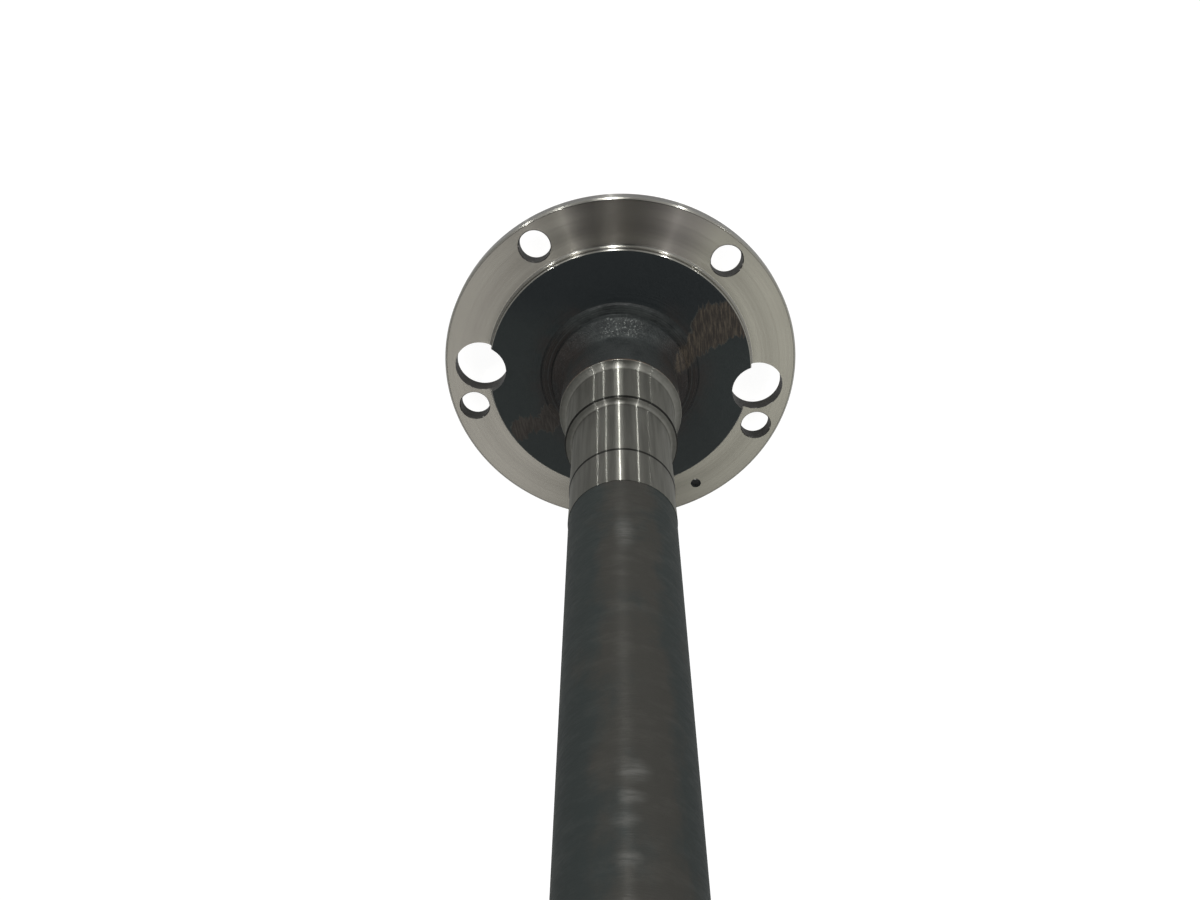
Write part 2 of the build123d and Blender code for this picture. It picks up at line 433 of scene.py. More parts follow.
def cut_holes(body):
    """Drills the stud holes, the socket access holes and the index hole."""
    verts, faces = [], []
    lug = hole_outline(LUG_HOLE_R, WHEEL_FACE_Z, RING_Z, LUG_HOLE_CHAMFER)
    for angle in lug_angles():
        drill(verts, faces, LUG_CIRCLE_R, angle, lug)
    access = [(ACCESS_HOLE_R, WHEEL_FACE_Z - 1 * MM), (ACCESS_HOLE_R, WEB_Z + 1 * MM)]
    for angle in ACCESS_ANGLES:
        drill(verts, faces, ACCESS_CIRCLE_R, angle, access, 128)
    index = hole_outline(INDEX_HOLE_R, WHEEL_FACE_Z, RING_Z, INDEX_HOLE_CHAMFER)
    drill(verts, faces, INDEX_CIRCLE_R, INDEX_ANGLE, index, 48)
    cutter_mesh = bpy.data.meshes.new("drills")
    cutter_mesh.from_pydata(verts, [], faces)
    cutter = bpy.data.objects.new("drills", cutter_mesh)
    bpy.context.scene.collection.objects.link(cutter)
    boolean = body.modifiers.new("holes", "BOOLEAN")
    boolean.operation = "DIFFERENCE"
    boolean.solver = "EXACT"
    boolean.object = cutter
    drilled = bpy.data.meshes.new_from_object(body.evaluated_get(bpy.context.evaluated_depsgraph_get()))
    body.modifiers.clear()
    body.data = drilled
    bpy.data.objects.remove(cutter)


def in_hole(point):
    """Whether a point is on or inside the wall of one of the flange's holes."""
    holes = [(LUG_CIRCLE_R, angle, LUG_HOLE_R + 0.35 * MM) for angle in lug_angles()]
    holes += [(ACCESS_CIRCLE_R, angle, ACCESS_HOLE_R + 0.1 * MM) for angle in ACCESS_ANGLES]
    holes.append((INDEX_CIRCLE_R, INDEX_ANGLE, INDEX_HOLE_R + 0.25 * MM))
    for circle_r, angle, r in holes:
        x = circle_r * math.cos(math.radians(angle))
        y = circle_r * math.sin(math.radians(angle))
        if math.hypot(point.x - x, point.y - y) < r:
            return True
    return False


def surface_of(polygon):
    """Name of the material that a face belongs to."""
    p = polygon.center
    r = math.hypot(p.x, p.y)
    if r > 45 * MM and abs(polygon.normal.z) < 0.9 and in_hole(p):
        return "drilled_bore"
    on_rim = r > FLANGE_R - 0.2 * MM
    on_web_wall = abs(r - WEB_R) < 0.2 * MM and p.z > RING_Z
    if abs(polygon.normal.z) < 0.1 and (on_rim or on_web_wall):
        return "edge_steel"
    if p.z < WHEEL_FACE_Z and r < RECESS_R - 0.3 * MM:
        return "forged_scale"
    if p.z > WEB_Z - 0.3 * MM and p.z < NECK_END_Z - 0.2 * MM and r < WEB_R - 0.35 * MM:
        return "hub_scale" if r < RIDGE_OUTER_R + 0.2 * MM else "forged_scale"
    if NECK_END_Z - 0.2 * MM <= p.z < COLLAR_END_Z - 0.05 * MM:
        return "ground_steel"
    if COLLAR_END_Z - 0.05 * MM <= p.z < SPLINE_COLLAR_Z - COLLAR_BLEND:
        return "shaft_scale"
    if p.z > COLLAR_END_Z and polygon.normal.z < 0.9:
        return "spline_steel"
    return "turned_steel"


class Nodes:
    """Short names for the nodes that the materials share."""

    def __init__(self, name):
        self.material = bpy.data.materials.new(name)
        self.material.use_nodes = True
        self.tree = self.material.node_tree
        self.shader = self.tree.nodes["Principled BSDF"]
        self.place = self.add("ShaderNodeTexCoord").outputs["Object"]
        split = self.add("ShaderNodeSeparateXYZ")
        self.link(self.place, split.inputs[0])
        self.x, self.y, self.z = split.outputs
        squares = self.math("ADD", self.math("POWER", self.x, 2.0), self.math("POWER", self.y, 2.0))
        self.r = self.math("SQRT", squares)

    def add(self, kind):
        return self.tree.nodes.new(kind)

    def link(self, source, target):
        self.tree.links.new(source, target)

    def feed(self, socket, value):
        if hasattr(value, "is_output"):
            self.link(value, socket)
        else:
            socket.default_value = value

    def math(self, operation, a, b=0.0, clamp=False):
        node = self.add("ShaderNodeMath")
        node.operation = operation
        node.use_clamp = clamp
        self.feed(node.inputs[0], a)
        self.feed(node.inputs[1], b)
        return node.outputs[0]

    def ramp(self, value, low, high, to_low=0.0, to_high=1.0):
        """Smooth step of a value from one range to another."""
        node = self.add("ShaderNodeMapRange")
        node.interpolation_type = "SMOOTHSTEP"
        for socket, number in zip(node.inputs[:5], (value, low, high, to_low, to_high)):
            self.feed(socket, number)
        return node.outputs[0]

    def band(self, value, low, high, soft):
        """1 between two values and 0 outside them."""
        rise = self.ramp(value, low - soft, low + soft)
        return self.math("MULTIPLY", rise, self.ramp(value, high - soft, high + soft, 1.0, 0.0))

    def noise(self, scale, detail, roughness=0.55, vector=None):
        node = self.add("ShaderNodeTexNoise")
        self.link(vector or self.place, node.inputs["Vector"])
        node.inputs["Scale"].default_value = scale
        node.inputs["Detail"].default_value = detail
        node.inputs["Roughness"].default_value = roughness
        return node.outputs["Fac"]

    def wander(self, scale, reach):
        """A small vector that changes smoothly over the surface."""
        noise_node = self.add("ShaderNodeTexNoise")
        self.link(self.place, noise_node.inputs["Vector"])
        noise_node.inputs["Scale"].default_value = scale
        noise_node.inputs["Detail"].default_value = 3.0
        centred = self.add("ShaderNodeVectorMath")
        centred.operation = "SUBTRACT"
        self.link(noise_node.outputs["Color"], centred.inputs[0])
        centred.inputs[1].default_value = (0.5, 0.5, 0.5)
        sized = self.add("ShaderNodeVectorMath")
        sized.operation = "SCALE"
        self.link(centred.outputs[0], sized.inputs[0])
        sized.inputs["Scale"].default_value = reach
        return sized.outputs[0]

    def moved_place(self, *pushes):
        """Object coordinates with small vectors added."""
        moved = self.place
        for push in pushes:
            add = self.add("ShaderNodeVectorMath")
            add.operation = "ADD"
            self.link(moved, add.inputs[0])
            self.link(push, add.inputs[1])
            moved = add.outputs[0]
        return moved

    def blob(self, place, centre, half, turn=0.0, edge=0.9):
        """1 inside an ellipsoid, in millimetres and degrees about Z, fading out from a share of its size."""
        local = self.add("ShaderNodeMapping")
        local.vector_type = "TEXTURE"
        local.inputs["Location"].default_value = [v * MM for v in centre]
        local.inputs["Rotation"].default_value = (0.0, 0.0, math.radians(turn))
        local.inputs["Scale"].default_value = [v * MM for v in half]
        self.link(place, local.inputs["Vector"])
        length = self.add("ShaderNodeVectorMath")
        length.operation = "LENGTH"
        self.link(local.outputs[0], length.inputs[0])
        return self.ramp(length.outputs["Value"], edge, 1.05, 1.0, 0.0)

    def lines(self, coordinate, scale, detail=6.0):
        """Noise along one coordinate only, as a tool leaves round a turned face."""
        node = self.add("ShaderNodeTexNoise")
        node.noise_dimensions = "1D"
        self.link(coordinate, node.inputs["W"])
        node.inputs["Scale"].default_value = scale
        node.inputs["Detail"].default_value = detail
        node.inputs["Roughness"].default_value = 0.7
        return node.outputs["Fac"]

    def specks(self, spacing, size, share):
        """Small round spots, one at most in each cell, kept in a share of the cells."""
        node = self.add("ShaderNodeTexVoronoi")
        self.link(self.place, node.inputs["Vector"])
        node.inputs["Scale"].default_value = 1.0 / spacing
        spot = self.ramp(node.outputs["Distance"], size / spacing * 0.6, size / spacing, 1.0, 0.0)
        split = self.add("ShaderNodeSeparateColor")
        self.link(node.outputs["Color"], split.inputs[0])
        return self.math("MULTIPLY", spot, self.math("LESS_THAN", split.outputs[0], share))

    def turned_place(self, angle, x_scale, y_scale, z_scale):
        """Object coordinates turned about Z by degrees, then scaled by axis."""
        turned = self.add("ShaderNodeMapping")
        turned.inputs["Rotation"].default_value = (0.0, 0.0, math.radians(angle))
        self.link(self.place, turned.inputs["Vector"])
        scaled = self.add("ShaderNodeMapping")
        scaled.inputs["Scale"].default_value = (x_scale, y_scale, z_scale)
        self.link(turned.outputs[0], scaled.inputs["Vector"])
        return scaled.outputs[0]

    def mix(self, share, a, b):
        node = self.add("ShaderNodeMix")
        node.data_type = "RGBA"
        self.feed(node.inputs[0], share)
        self.feed(node.inputs[6], a)
        self.feed(node.inputs[7], b)
        return node.outputs[2]

    def shade(self, name, value):
        self.feed(self.shader.inputs[name], value)

    def bump(self, height, strength, distance):
        node = self.add("ShaderNodeBump")
        node.inputs["Strength"].default_value = strength
        node.inputs["Distance"].default_value = distance
        self.link(height, node.inputs["Height"])
        self.link(node.outputs[0], self.shader.inputs["Normal"])

    def grain_tangent(self):
        """Direction round the shaft's axis."""
        tangent = self.add("ShaderNodeTangent")
        tangent.direction_type = "RADIAL"
        tangent.axis = "Z"
        return tangent.outputs[0]

    def turned_sheen(self):
        """Widens the reflections across grooves that run round the axis."""
        self.link(self.grain_tangent(), self.shader.inputs["Tangent"])
        self.shader.inputs["Anisotropic"].default_value = 1.0
        self.shader.inputs["Anisotropic Rotation"].default_value = 0.25

    def line_gloss(self, colour, roughness, anisotropy, share):
        """Adds a gloss that draws a lamp as a thin line across the grooves."""
        line = self.add("ShaderNodeBsdfAnisotropic")
        line.distribution = "GGX"
        line.inputs["Anisotropy"].default_value = anisotropy
        line.inputs["Roughness"].default_value = roughness
        self.link(self.grain_tangent(), line.inputs["Tangent"])
        self.feed(line.inputs["Color"], colour)
        both = self.add("ShaderNodeMixShader")
        both.inputs[0].default_value = share
        self.link(self.shader.outputs[0], both.inputs[1])
        self.link(line.outputs[0], both.inputs[2])
        self.link(both.outputs[0], self.tree.nodes["Material Output"].inputs["Surface"])
        if self.shader.inputs["Normal"].is_linked:
            self.link(self.shader.inputs["Normal"].links[0].from_socket, line.inputs["Normal"])


def turned_steel():
    """Flange ring, pilot, wheel face and end face: lathe-turned steel with circular tool marks."""
    n = Nodes("turned_steel")
    track = n.math("ADD", n.r, n.math("MULTIPLY", n.z, 1.7))
    marks = n.lines(track, 700.0, 2.0)
    bands = n.lines(track, 160.0, 2.0)
    stains = n.noise(40.0, 5.0, 0.55)
    n.shade("Metallic", 1.0)
    tone = n.math("ADD", n.math("MULTIPLY", marks, 0.3), n.math("MULTIPLY", stains, 0.4))
    tone = n.math("ADD", tone, n.math("MULTIPLY", bands, 0.3))
    colour = n.mix(tone, (0.54, 0.518, 0.43, 1), (0.825, 0.803, 0.68, 1))
    # Painted reflection: a violet tint on the -X side and in the +Y side's dark wedge, standing in for the
    # tinted surroundings that the ring reflects there.
    minus_x_reflection_tint = n.ramp(n.x, -40.0 * MM, 20.0 * MM, 0.14, 0.0)
    wedge_reflection_tint = n.ramp(n.math("DIVIDE", n.y, n.r), 0.86, 0.97, 0.0, 0.28)
    painted_reflection_tint = n.math("MAXIMUM", minus_x_reflection_tint, wedge_reflection_tint)
    colour = n.mix(painted_reflection_tint, colour, (0.68, 0.585, 0.66, 1))
    colour = n.mix(n.specks(0.019, 0.0006, 0.3), colour, (0.16, 0.15, 0.13, 1))
    # Painted shade: the fillet and the rim's chamfers are darkened to stand in for their darker reflections.
    colour = n.mix(flange_edges(n), colour, (0.27, 0.265, 0.24, 1))
    # Painted reflection: a dark line just inside the rim's chamfer, where the ring's rolled edge reflects
    # something dark.
    dark_edge_reflection = n.band(n.r, FLANGE_R - 1.05 * MM, FLANGE_R - 0.75 * MM, 0.08 * MM)
    colour = n.mix(n.math("MULTIPLY", dark_edge_reflection, 0.7), colour, (0.12, 0.12, 0.11, 1))
    n.shade("Base Color", colour)
    n.shade("Roughness", n.ramp(bands, 0.3, 0.7, 0.24, 0.27))
    n.bump(bands, 0.03, 0.0001)
    n.turned_sheen()
    n.line_gloss(colour, 0.22, 0.837, 0.055)
    return n.material


def flange_edges(n):
    """1 on the fillet round the web and on the rim's chamfers, which are painted darker as shade for their
    darker reflections.
    """
    fillet = n.band(n.r, WEB_R - 0.6 * MM, WEB_R + 1.25 * MM, 0.1 * MM)
    fillet = n.math("MULTIPLY", fillet, n.ramp(n.z, RING_Z + 0.01 * MM, RING_Z + 0.06 * MM))
    return n.math("MAXIMUM", fillet, n.ramp(n.r, FLANGE_R - 0.72 * MM, FLANGE_R - 0.66 * MM))


def seat_corner_shade(n):
    """1 on the two narrow chamfers between the seats, where shade is painted."""
    seal_edge = n.band(n.z, SEAL_END_Z - 0.62 * MM, SEAL_END_Z + 0.02 * MM, 0.04 * MM)
    seal_edge = n.math("MULTIPLY", seal_edge, n.ramp(n.r, SEAL_R - 0.7 * MM, SEAL_R - 0.5 * MM))
    bearing_edge = n.band(n.z, BEARING_END_Z - 0.82 * MM, BEARING_END_Z + 0.02 * MM, 0.04 * MM)
    return n.math("ADD", seal_edge, bearing_edge, True)


def seat_flares(n):
    """1 where the seal seat flares out to the neck and the bearing seat out to its shoulder."""
    seal_flare = n.ramp(n.r, SEAL_R + 0.05 * MM, SEAL_R + 0.5 * MM)
    shoulder = n.ramp(n.r, BEARING_R + 0.05 * MM, BEARING_R + 0.5 * MM)
    above_seal = n.ramp(n.z, SEAL_END_Z - 0.03 * MM, SEAL_END_Z - 0.01 * MM)
    return n.math("MAXIMUM", seal_flare, n.math("MULTIPLY", shoulder, above_seal))


def ground_steel():
    """Seal, bearing and collar seats: ground steel, with painted shade darkening the chamfers between them.
    """
    n = Nodes("ground_steel")
    marks = n.lines(n.z, 1500.0, 3.0)
    streaks = n.noise(1.0, 3.0, 0.6, n.turned_place(0.0, 420.0, 420.0, 25.0))
    n.shade("Metallic", 1.0)
    tone = n.math("ADD", n.math("MULTIPLY", marks, 0.5), n.math("MULTIPLY", streaks, 0.5))
    colour = n.mix(tone, (0.030, 0.030, 0.0265, 1), (0.080, 0.079, 0.070, 1))
    # Painted highlight: a lighter steel colour on the flares, standing in for their brighter reflections.
    colour = n.mix(seat_flares(n), colour, (0.27, 0.267, 0.24, 1))
    corners = seat_corner_shade(n)
    # Painted shade: the chamfers between the seats are darkened, here and in the gloss's colour below.
    n.shade("Base Color", n.mix(corners, colour, (0.02, 0.02, 0.018, 1)))
    n.shade("Roughness", n.ramp(marks, 0.3, 0.7, 0.42, 0.46))
    n.bump(marks, 0.015, 0.0001)
    n.turned_sheen()
    gleam = n.mix(n.ramp(streaks, 0.3, 0.7), (0.235, 0.235, 0.21, 1), (0.37, 0.368, 0.33, 1))
    n.line_gloss(n.mix(corners, gleam, (0.05, 0.05, 0.047, 1)), 0.28, 0.9, 0.3)
    return n.material


def edge_steel():
    """Rim and the wall of the web: a darker copy of the turned steel, painted shade for the darker
    reflections on these upright faces.
    """
    n = Nodes("edge_steel")
    marks = n.lines(n.z, 1500.0, 3.0)
    n.shade("Metallic", 1.0)
    # Painted shade: a dark steel colour for the upright faces.
    n.shade("Base Color", n.mix(marks, (0.08, 0.0785, 0.072, 1), (0.13, 0.1275, 0.117, 1)))
    n.shade("Roughness", n.ramp(marks, 0.3, 0.7, 0.25, 0.3))
    n.bump(marks, 0.03, 0.0001)
    n.turned_sheen()
    n.line_gloss((0.26, 0.256, 0.235, 1), 0.3, 0.9, 0.06)
    return n.material


def spline_steel():
    """Collar and splined end: hobbed steel, with painted shade darkening it down in the tooth spaces."""
    n = Nodes("spline_steel")
    marks = n.lines(n.z, 1200.0, 3.0)
    cloud = n.noise(160.0, 4.0, 0.6)
    on_teeth = n.ramp(n.z, SPLINE_START_Z, SPLINE_START_Z + 6.0 * MM)
    depth = n.ramp(n.r, MINOR_R + 0.05 * MM, MAJOR_R - 0.15 * MM, 1.0, 0.0)
    tone = n.math("ADD", n.math("MULTIPLY", marks, 0.5), n.math("MULTIPLY", cloud, 0.5))
    colour = n.mix(tone, (0.19, 0.187, 0.172, 1), (0.34, 0.335, 0.31, 1))
    # Painted shade: darker down in the tooth spaces.
    colour = n.mix(n.math("MULTIPLY", depth, on_teeth), colour, (0.07, 0.067, 0.058, 1))
    n.shade("Metallic", 1.0)
    n.shade("Base Color", colour)
    n.shade("Roughness", n.ramp(cloud, 0.3, 0.7, 0.30, 0.38))
    n.bump(marks, 0.05, 0.0001)
    return n.material


def rust_patches(n):
    """1 inside the ragged patches on the web and on the ridge beside it."""
    split = n.add("ShaderNodeSeparateXYZ")
    n.link(n.turned_place(RUST_STREAK_TURN, 1.0, 0.0, 0.0), split.inputs[0])
    ragged = n.lines(split.outputs[0], 650.0, 3.0)
    shift = n.add("ShaderNodeVectorMath")
    shift.operation = "SCALE"
    shift.inputs[0].default_value = (0.2, -1.0, 0.0)
    n.link(n.math("MULTIPLY", n.math("SUBTRACT", ragged, 0.5), 7.0 * MM), shift.inputs["Scale"])
    place = n.moved_place(shift.outputs[0], n.wander(260.0, 4.5 * MM))
    total = 0.0
    for x, y, half_x, half_y, turn in RUST_SHAPES:
        shape = n.blob(place, (x, y, 0), (half_x, half_y, 1000), turn)
        total = n.math("MAXIMUM", total, shape)
    x, y, half_x, half_y, turn = RUST_GAP
    gap = n.blob(place, (x, y, 0), (half_x, half_y, 1000), turn)
    total = n.math("SUBTRACT", total, gap, True)
    return n.math("MULTIPLY", total, n.ramp(n.z, 10.0 * MM, 12.0 * MM))


def rusted(n, colour):
    """Lays the rust-brown patches, streaked along one direction, over a scale colour."""
    streaks = n.noise(1.0, 4.0, 0.65, n.turned_place(RUST_STREAK_TURN, 1500.0, 170.0, 100.0))
    pale = n.mix(n.ramp(n.x, -10.0 * MM, 10.0 * MM), (0.055, 0.048, 0.041, 1), (0.095, 0.077, 0.055, 1))
    rust = n.mix(n.ramp(streaks, 0.38, 0.75), (0.024, 0.0195, 0.0155, 1), pale)
    patches = rust_patches(n)
    colour = n.mix(patches, colour, rust)
    # Painted highlight: a light line along each patch's edge, where the step in the scale catches light.
    edge = n.math("MULTIPLY", n.band(patches, 0.1, 0.5, 0.1), 0.3)
    return n.mix(edge, colour, (0.10, 0.10, 0.085, 1))


def forged_scale():
    """Web and recess: blue-black forging scale, with painted shade that makes it a little darker on the +Y
    side and lighter towards -Y, with rust patches.
    """
    n = Nodes("forged_scale")
    grain = n.noise(1100.0, 6.0, 0.65)
    cloud = n.noise(60.0, 5.0, 0.6)
    mottle = n.noise(420.0, 4.0, 0.6)
    brown_cloud = n.noise(90.0, 6.0, 0.65)
    shade = n.math("ADD", n.math("MULTIPLY", cloud, 0.6), n.math("MULTIPLY", mottle, 0.4))
    # Painted shade and light: darker scale on the web's +Y side, lighter towards -Y.
    painted_plus_y_side = n.mix(shade, (0.0055, 0.009, 0.0105, 1), (0.013, 0.0175, 0.0190, 1))
    painted_minus_y_side = n.mix(shade, (0.010, 0.0155, 0.0155, 1), (0.025, 0.031, 0.030, 1))
    colour = n.mix(n.ramp(n.y, 15.0 * MM, 40.0 * MM), painted_minus_y_side, painted_plus_y_side)
    tint = n.ramp(n.r, 33.0 * MM, 47.0 * MM, 1.0, 0.0)
    tint = n.math("MULTIPLY", tint, n.ramp(n.math("ABSOLUTE", n.x), 12.0 * MM, 24.0 * MM))
    tint = n.math("MULTIPLY", tint, n.ramp(brown_cloud, 0.35, 0.6))
    colour = n.mix(n.math("MULTIPLY", tint, 0.8), colour, (0.024, 0.0185, 0.0165, 1))
    n.shade("Base Color", rusted(n, colour))
    n.shade("Roughness", n.ramp(grain, 0.3, 0.7, 0.42, 0.58))
    n.shade("Specular IOR Level", 0.35)
    rings = n.math("MULTIPLY", n.lines(n.r, 900.0, 2.0), n.ramp(n.r, 38.0 * MM, 48.0 * MM, 0.8, 0.0))
    n.bump(n.math("ADD", n.math("ADD", grain, mottle), rings), 0.4, 0.0003)
    return n.material


def hub_glints(n, on_hub, fine):
    """1 on small bright points on the hub's +Y side."""
    beside = n.math("ABSOLUTE", n.math("ADD", n.x, 2.0 * MM))
    glints = n.math("MULTIPLY", on_hub, n.ramp(beside, 12.0 * MM, 5.0 * MM))
    glints = n.math("MULTIPLY", glints, n.ramp(n.y, 0.0, 20.0 * MM))
    return n.math("MULTIPLY", glints, n.ramp(fine, 0.55, 0.65))


def ridge_marks(n, colour, cloud):
    """Lays fine scratches and painted shade, on the outer edge and along the step line, over the ridge's
    colour.
    """
    on_ridge = n.ramp(n.z, 19.5 * MM, 18.4 * MM)
    scratches = n.math("MULTIPLY", n.ramp(n.lines(n.r, 1300.0, 2.0), 0.52, 0.7), on_ridge)
    colour = n.mix(n.math("MULTIPLY", scratches, 0.5), colour, (0.055, 0.06, 0.058, 1))
    # Painted shade: the ridge's rounded outer edge and the step down to the hub are darkened.
    outer_edge_shade = n.ramp(n.r, RIDGE_OUTER_R - 1.1 * MM, RIDGE_OUTER_R - 0.5 * MM)
    step_shade = n.band(n.r, RIDGE_INNER_R - 0.55 * MM, RIDGE_INNER_R + 0.05 * MM, 0.15 * MM)
    step_shade = n.math("MULTIPLY", step_shade, n.ramp(n.z, 21.3 * MM, 20.5 * MM))
    step_shade = n.math("MULTIPLY", step_shade, n.ramp(cloud, 0.35, 0.6, 0.25, 0.8))
    painted_shade = n.math("MAXIMUM", n.math("MULTIPLY", outer_edge_shade, 0.75), step_shade)
    return n.mix(painted_shade, colour, (0.005, 0.0065, 0.0065, 1))


def hub_scale():
    """Ridge, hub and neck: paler scale, painted lighter on the +Y side as a highlight, pitted on the hub,
    with a rusty line where the grinding starts.
    """
    n = Nodes("hub_scale")
    grain = n.noise(900.0, 6.0, 0.65)
    fine = n.noise(1100.0, 3.0, 0.7)
    cloud = n.noise(130.0, 5.0, 0.65)
    rings = n.lines(n.math("ADD", n.r, n.z), 700.0, 2.0)
    tone = n.math("ADD", n.math("MULTIPLY", cloud, 0.75), n.math("MULTIPLY", rings, 0.25))
    dull = n.mix(tone, (0.0075, 0.0095, 0.0095, 1), (0.024, 0.0265, 0.026, 1))
    # Painted highlight: a lighter copy of the scale, laid on the +Y side, mostly on the ridge and the hub.
    painted_lit_scale = n.mix(n.ramp(tone, 0.3, 0.7), (0.010, 0.0125, 0.0125, 1), (0.040, 0.045, 0.0435, 1))
    below_neck = n.ramp(n.z, 28.0 * MM, 38.0 * MM, 1.0, 0.25)
    painted_plus_y_side = n.math("MULTIPLY", n.ramp(n.y, 17.0 * MM, 27.0 * MM), below_neck)
    to_sides = n.ramp(n.math("ABSOLUTE", n.x), 10.0 * MM, 22.0 * MM)
    brown = n.math("MULTIPLY", to_sides, n.ramp(cloud, 0.3, 0.6))
    dull = n.mix(brown, dull, (0.019, 0.0155, 0.0135, 1))
    colour = ridge_marks(n, n.mix(painted_plus_y_side, dull, painted_lit_scale), cloud)
    on_hub = n.band(n.z, 20.5 * MM, 29.0 * MM, 2.0 * MM)
    colour = n.mix(hub_glints(n, on_hub, fine), colour, (0.17, 0.18, 0.17, 1))
    line = n.band(n.z, NECK_END_Z - 0.7 * MM, NECK_END_Z, 0.2 * MM)
    line = n.math("MULTIPLY", line, n.ramp(cloud, 0.35, 0.6))
    n.shade("Base Color", rusted(n, n.mix(line, colour, (0.10, 0.058, 0.036, 1))))
    n.shade("Roughness", n.ramp(grain, 0.3, 0.7, 0.42, 0.60))
    n.shade("Specular IOR Level", 0.25)
    pits = n.math("MULTIPLY", fine, n.math("ADD", n.math("MULTIPLY", on_hub, 1.4), 0.3))
    pits = n.math("ADD", pits, n.math("MULTIPLY", rings, 0.5))
    n.bump(n.math("ADD", n.math("MULTIPLY", grain, 0.5), pits), 0.9, 0.0004)
    return n.material


def wear_and_highlight_spots(n, ripples):
    """1 on the shaft's worn spots, partly painted highlight on its +Y side, broken up by the ripples."""
    place = n.moved_place(n.wander(300.0, 1.6 * MM))
    bare_and_highlight = 0.0
    for x, z, half_x, half_z in WEAR_AND_HIGHLIGHT_SPOTS:
        spot = n.blob(place, (x, 0, z), (half_x, 1000, half_z), edge=0.0)
        bare_and_highlight = n.math("MAXIMUM", bare_and_highlight, spot)
    bare_and_highlight = n.math("MULTIPLY", bare_and_highlight, n.ramp(n.y, 4.0 * MM, 9.0 * MM))
    return n.math("MULTIPLY", bare_and_highlight, n.ramp(ripples, 0.35, 0.62, 0.3, 1.0))


def shaft_scale():
    """Forged shaft between the collar seat and the spline: dull grey-black scale, rippled across, with a
    painted reflection tint that turns it teal towards its ±X sides.
    """
    n = Nodes("shaft_scale")
    grain = n.noise(1.0, 5.0, 0.65, n.turned_place(0.0, 250.0, 250.0, 1500.0))
    ripples = n.noise(1.0, 4.0, 0.6, n.turned_place(0.0, 60.0, 60.0, 420.0))
    cloud = n.noise(1.0, 6.0, 0.65, n.turned_place(0.0, 70.0, 70.0, 55.0))
    wear = n.noise(1.0, 5.0, 0.65, n.turned_place(0.0, 90.0, 90.0, 230.0))
    # Random cloud and painted reflection: teal towards the shaft's ±X sides, browner in the middle of its ±Y
    # faces.
    brown = n.math("ADD", cloud, n.ramp(n.math("ABSOLUTE", n.x), 5.0 * MM, 14.0 * MM, 0.12, -0.2))
    colour = n.mix(n.ramp(brown, 0.35, 0.65), (0.0170, 0.0225, 0.0225, 1), (0.0290, 0.0280, 0.0245, 1))
    colour = n.mix(n.math("MULTIPLY", grain, 0.25), colour, (0.045, 0.045, 0.041, 1))
    # Wear and painted highlight: lighter spots on the +Y side only.
    n.shade("Base Color", n.mix(wear_and_highlight_spots(n, ripples), colour, (0.082, 0.082, 0.076, 1)))
    n.shade("Roughness", n.ramp(grain, 0.3, 0.7, 0.6, 0.75))
    n.shade("Specular IOR Level", 0.05)
    n.bump(n.math("ADD", n.math("MULTIPLY", grain, 0.5), ripples), 0.5, 0.0003)
    gleam = n.mix(n.ramp(wear, 0.45, 0.72), (0.32, 0.32, 0.30, 1), (0.56, 0.55, 0.51, 1))
    n.line_gloss(gleam, 0.40, 0.5, 0.034)
    return n.material


def near_index_hole(n):
    """1 within two radii of the index hole's axis."""
    level = n.add("ShaderNodeCombineXYZ")
    n.link(n.x, level.inputs[0])
    n.link(n.y, level.inputs[1])
    apart = n.add("ShaderNodeVectorMath")
    apart.operation = "DISTANCE"
    n.link(level.outputs[0], apart.inputs[0])
    turn = math.radians(INDEX_ANGLE)
    apart.inputs[1].default_value = (INDEX_CIRCLE_R * math.cos(turn), INDEX_CIRCLE_R * math.sin(turn), 0.0)
    return n.math("LESS_THAN", apart.outputs["Value"], 2 * INDEX_HOLE_R)


def drilled_bore():
    """Walls of the flange's holes: dull drilled steel, with bright burrs left along their edges that are
    partly painted glints, and painted shade in the index hole.
    """
    n = Nodes("drilled_bore")
    marks = n.lines(n.z, 2500.0)
    cloud = n.noise(250.0, 4.0)
    burrs_and_glints = n.noise(420.0, 3.0, 0.6)
    colour = n.mix(cloud, (0.016, 0.0155, 0.014, 1), (0.040, 0.038, 0.034, 1))
    # Burrs and painted glints: bright bits along the holes' top edges.
    on_web = n.ramp(n.r, WEB_R - 0.3 * MM, WEB_R, 1.0, 0.0)
    edge_z = n.math("ADD", RING_Z - 0.45 * MM, n.math("MULTIPLY", on_web, WEB_Z - RING_Z))
    edge = n.math("GREATER_THAN", n.z, edge_z)
    edge = n.math("MULTIPLY", edge, n.ramp(burrs_and_glints, 0.56, 0.66))
    colour = n.mix(edge, colour, (0.36, 0.35, 0.32, 1))
    # Painted shade: the index hole's narrow bore is darkened.
    colour = n.mix(near_index_hole(n), colour, (0.006, 0.009, 0.009, 1))
    n.shade("Metallic", 0.15)
    n.shade("Base Color", colour)
    n.shade("Roughness", n.ramp(marks, 0.3, 0.7, 0.55, 0.75))
    n.shade("Specular IOR Level", 0.25)
    n.bump(marks, 0.3, 0.0002)
    return n.material


